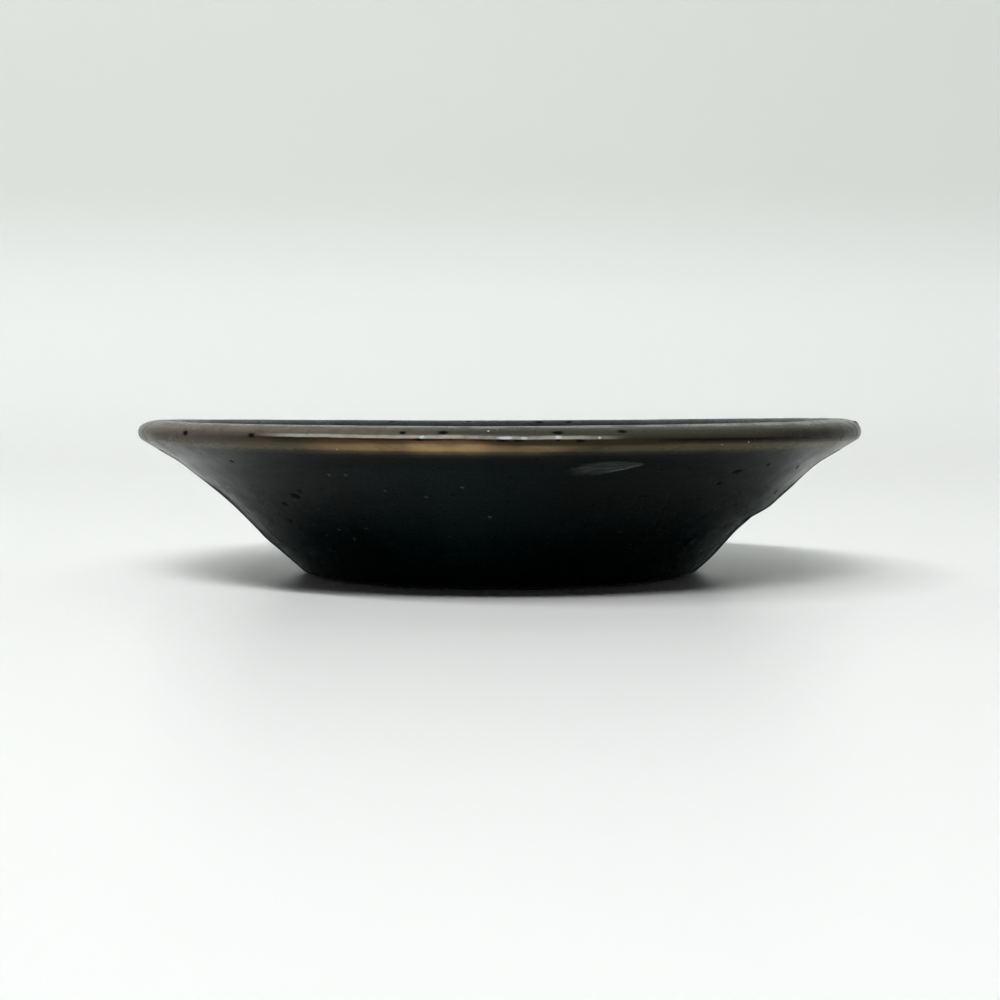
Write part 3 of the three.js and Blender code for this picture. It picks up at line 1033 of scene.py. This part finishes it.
# Flecks on the flanks, whose pale tone is partly painted glints, pits, and specks at the front
OUTSIDE_MARKS = [
    (-64.5, -10.9, 0.4, 1.0, 0, 0.02, 0.9),
    (-61.5, -11.2, 0.35, 0.8, 0, 0.02, 0.85),
    (-57.5, -11.7, 0.35, 0.7, 0, 0.01, 0.7),
    (-63.5, -18.6, 0.35, 0.6, 0, 0.02, 0.9),
    (-63.3, -20.7, 0.4, 0.8, 0, 0.01, 0.7),
    (-63.5, -23.6, 0.4, 0.9, 0, 0.01, 0.6),
    (68.8, -14.4, 0.3, 0.7, 0, 0.03, 1.0),
    (67.3, -11.1, 0.3, 1.1, 0, 0.03, 0.82),
    (59.3, -19.2, 0.3, 0.7, 0, 0.02, 0.75),
    (40.8, -7.8, 0.9, 0.45, 20, -0.05, -1.0),
    (39.0, -10.2, 0.5, 0.4, 0, -0.04, -0.8),
    (62.5, -12.9, 0.4, 0.4, 0, -0.05, -1.0),
    (59.3, -7.6, 0.4, 0.4, 0, -0.04, -0.8),
    (-38.0, -12.6, 0.9, 0.6, 0, -0.05, -1.0),
    (-42.8, -14.4, 0.6, 0.4, 0, -0.05, -1.0),
    (-36.0, -11.6, 0.4, 0.4, 0, -0.04, -0.8),
    (-27.5, -8.1, 0.22, 0.22, 0, 0.01, 0.66),
    (-24.5, -8.1, 0.24, 0.24, 0, 0.01, 0.66),
    (-19.0, -11.0, 0.2, 0.2, 0, 0.01, 0.62),
    (-12.3, -12.1, 0.22, 0.22, 0, 0.01, 0.66),
    (-6.0, -10.2, 0.24, 0.24, 0, 0.01, 0.66),
    (-1.8, -16.1, 0.22, 0.22, 0, 0.01, 0.64),
    (-33.8, -19.4, 0.2, 0.2, 0, 0.01, 0.62),
    (-26.8, -18.9, 0.22, 0.22, 0, 0.01, 0.64),
    (-31.5, -21.2, 0.22, 0.22, 0, 0.01, 0.64),
]


def wall_colour(wiring, place):
    """Black under the bronze of the lip, with one smear where a finger touched the wet glaze, paler partly as
    a painted reflection of the lit table, with a painted highlight on its lower edge.
    """
    facing = wiring.vectors("DOT_PRODUCT", bearing_of(wiring, place), by_bearing(SMEAR_BEARING, 1, 0))
    side = wiring.vectors("DOT_PRODUCT", place, by_bearing(SMEAR_BEARING + 90, 1 / MM, 0))
    above = wiring.maths("SUBTRACT", kept_value(wiring, "place"), SMEAR_PLACE)
    up = wiring.maths("SUBTRACT", above, wiring.times(side, SMEAR_RISE))
    narrowing = SMEAR_TAPER * SMEAR_HALF_WIDTH / SMEAR_HALF_LENGTH
    half_width = wiring.maths("MULTIPLY_ADD", side, -narrowing, SMEAR_HALF_WIDTH)
    sideways = wiring.maths("DIVIDE", side, SMEAR_HALF_LENGTH)
    far = root_of_squares(wiring, sideways, wiring.maths("DIVIDE", up, half_width))
    far = wiring.total(far, wiring.uneven(place, *SMEAR_RAGGED))
    core = wiring.fade(side, **SMEAR_SOFTNESS)
    inside = wiring.times(wiring.fade(far, SMEAR_EDGE_FROM, core), wiring.fade(facing, *SMEAR_SIDE))
    wiped = wiring.made("ShaderNodeCombineXYZ", {
        "X": wiring.times(side, STREAK_ALONG),
        "Y": wiring.times(up, STREAK_ACROSS),
    })
    smear_sheen = wiring.times(inside, wiring.patches(wiped, **SMEAR_STREAKS))
    low_edge = wiring.times(wiring.fade(far, *HIGHLIGHT_NEAR_EDGE), wiring.fade(up, *HIGHLIGHT_BELOW))
    smear_highlight = wiring.times(low_edge, wiring.fade(side, *HIGHLIGHT_RIGHT), inside)
    return layered(wiring, lip_colour(wiring, place), (smear_sheen, FILM_AND_SHEEN), (smear_highlight, SMEAR_HIGHLIGHT))


def wall_satin(wiring, place):
    """The glaze is smoother up under the lip, and duller low on the wall where it is seen aslant."""
    height = wiring.add("ShaderNodeSeparateXYZ", {0: place}).outputs[2]
    turned_away = wiring.add("ShaderNodeLayerWeight").outputs["Facing"]

    def by_wall_height(low, high):
        return wiring.fade(height, DULL_BELOW, SMOOTH_ABOVE, low, high)

    dull = wiring.fade(turned_away, by_wall_height(*DULL_START), by_wall_height(*DULL_END), 0.0, DULL_EDGE)
    smoothed = by_wall_height(1.0, SMOOTH_SHARE)
    return wiring.maths("MAXIMUM", wiring.times(satin(wiring, place), smoothed), dull)


bead_centre = (glaze_foot + glaze_foot + into_wall * glaze_thickness) / 2 + wall_way * (glaze_thickness / 2)
wall_angle = math.atan2(wall_way.y, wall_way.x)
outside_shown = [
    *[point for point in outside_face if point.y > bead_centre.y],
    *arc(bead_centre, glaze_thickness / 2, wall_angle - QUARTER, wall_angle - QUARTER - math.pi),
]
outside_hidden = [
    outside_shown[-1],
    *[point for point in under(outside_face, glaze_thickness)[::-1] if point.y > outside_shown[-1].y],
]
outside_marks = OUTSIDE_MARKS + pinholes(
    OUTSIDE_PINHOLES, LOWEST_PINHOLE, lip_bottom - LIP_MARGIN, placed=OUTSIDE_MARKS)
outside_spots = marks_on("outside_spots", outside_face, lip_bottom, outside_marks)
outside_outline = outline_of(outside_shown, outside_hidden, lip_bottom, OUTSIDE_STEP, HIDDEN_STEP)
wall_glaze = glaze_finish("wall_glaze", wall_colour, GLAZE_BLOOM, wall_satin)
outside_coat = turn(
    "outside_coat", "outside_glaze", outside_outline, OUTSIDE_TURNS, wall_glaze, GLAZE_RELIEF, outside_spots)
for spots in (inside_spots, lip_spots, outside_spots):
    bpy.data.objects.remove(spots)

# The table and the backdrop
# One pale sheet of paper that lies flat under the dish and curves up behind it. Far from the dish it passes
# into the colour of the room. Where it curves up it is painted brighter, a painted highlight, and higher up
# it is painted darker, a painted shade.
TABLE_LEVEL = -0.00003
SHEET_HALF_WIDTH = 3
SHEET_FRONT = -3
SWEEP_START = 0.35
SHEET_CURVE = 0.5
SHEET_TOP = 1.8
SWEEP_PARTS = 32
sheet_line = [(SHEET_FRONT, TABLE_LEVEL)]
for part in range(SWEEP_PARTS + 1):
    turn_angle = QUARTER * part / SWEEP_PARTS
    sheet_line.append((
        SWEEP_START + SHEET_CURVE * math.sin(turn_angle),
        TABLE_LEVEL + SHEET_CURVE * (1 - math.cos(turn_angle)),
    ))
sheet_line.append((SWEEP_START + SHEET_CURVE, SHEET_TOP))
sheet_points = [(side * SHEET_HALF_WIDTH, y, z) for y, z in sheet_line for side in (-1, 1)]
sheet_faces = [(i, i + 1, i + 3, i + 2) for i in range(0, len(sheet_points) - 2, 2)]
sheet_mesh = bpy.data.meshes.new("sheet")
sheet_mesh.from_pydata(sheet_points, [], sheet_faces)
sheet_mesh.shade_smooth()
sheet = new_object("sheet", sheet_mesh)
PAPER = (0.905, 0.92, 0.91, 1)
# a brighter band low on the curve, a painted highlight
PAPER_LIT_BAND = (0.96, 0.985, 0.965, 1)
# darker higher up, painted shade where the lamps reach less
PAPER_SHADED_TOP = (0.775, 0.81, 0.775, 1)
ROOM_SEEN = 0.85
STAGE_RADIUS = 1.1  # where the sheet begins to pass into the colour of the room
STAGE_END = 2.0
PAPER_ROUGHNESS = 0.33
PAPER_IOR = 1.42
LIT_BAND_FROM = (0.0, 0.03)  # heights between which the paper changes colour
SHADED_TOP_FROM = (0.06, 0.16)
paper, paper_shader, paper_wiring, paper_place = new_finish(
    "paper", Roughness=PAPER_ROUGHNESS, IOR=PAPER_IOR)
sheet_height = paper_wiring.add("ShaderNodeSeparateXYZ", {0: paper_place}).outputs[2]
back, high = (paper_wiring.fade(sheet_height, *heights) for heights in (LIT_BAND_FROM, SHADED_TOP_FROM))
paper_colour = layered(paper_wiring, PAPER, (back, PAPER_LIT_BAND), (high, PAPER_SHADED_TOP))
paper_wiring.feed(paper_shader, {"Base Color": paper_colour})
stage_edge = paper_wiring.fade(paper_wiring.vectors("LENGTH", paper_place), STAGE_RADIUS, STAGE_END)
camera_ray = paper_wiring.add("ShaderNodeLightPath").outputs["Is Camera Ray"]
room_glow = paper_wiring.made("ShaderNodeEmission", {"Strength": ROOM_SEEN})
faded = paper_wiring.made("ShaderNodeMixShader", {
    0: paper_wiring.times(stage_edge, camera_ray),
    1: paper_shader.outputs[0],
    2: room_glow,
})
paper_wiring.feed(paper.node_tree.nodes["Material Output"], {"Surface": faded})
sheet_mesh.materials.append(paper)

# The light
# A narrow lamp above and behind the camera, and two more in a row nearer the dish, the longer one to the
# left, in a pale room.
ROOM_LIGHT = 0.004
LAMP_DEPTH = 0.17
LAMPS = {
    "front_lamp": {"place": Vector((-0.04, -1.25, 1.55)), "width": 1.08, "power": 17.7},
    "left_lamp": {"place": Vector((-0.61, -0.81, 1.69)), "width": 1.82, "power": 23.1},
    "right_lamp": {"place": Vector((0.91, -0.81, 1.69)), "width": 1.22, "power": 2.5},
}
world = bpy.data.worlds.new("room")
world.use_nodes = True
room = Wiring(world.node_tree)
ray = room.add("ShaderNodeLightPath").outputs
seen = room.maths("MAXIMUM", ray["Is Camera Ray"], ray["Is Glossy Ray"])
seen = room.maths("MAXIMUM", seen, ray["Is Transmission Ray"])
background = world.node_tree.nodes["Background"]
room.feed(background, {"Color": (1, 1, 1, 1), "Strength": room.fade(seen, 0.0, 1.0, ROOM_LIGHT, ROOM_SEEN)})
bpy.context.scene.world = world
for name, lamp in LAMPS.items():
    light = bpy.data.lights.new(name, "AREA")
    light.shape = "RECTANGLE"
    light.size = lamp["width"]
    light.size_y = LAMP_DEPTH
    light.energy = lamp["power"]
    holder = new_object(name, light)
    holder.location = lamp["place"]
    holder.rotation_euler = lamp["place"].to_track_quat("Z", "Y").to_euler()

# The camera
# A phone stood on the table, looking almost level at the front of the dish.
CAMERA_PLACE = (0, -0.252475, 0.02405)
CAMERA_DIP = math.radians(3.09)
LENS = 61.2
SENSOR_WIDTH = 36
NEAREST_SEEN = 0.01
camera_data = bpy.data.cameras.new("camera")
camera_data.lens = LENS
camera_data.sensor_width = SENSOR_WIDTH
camera_data.clip_start = NEAREST_SEEN
camera = new_object("camera", camera_data)
camera.location = CAMERA_PLACE
camera.rotation_euler = (QUARTER - CAMERA_DIP, 0, 0)
bpy.context.scene.camera = camera
bpy.context.scene.view_settings.view_transform = "Standard"
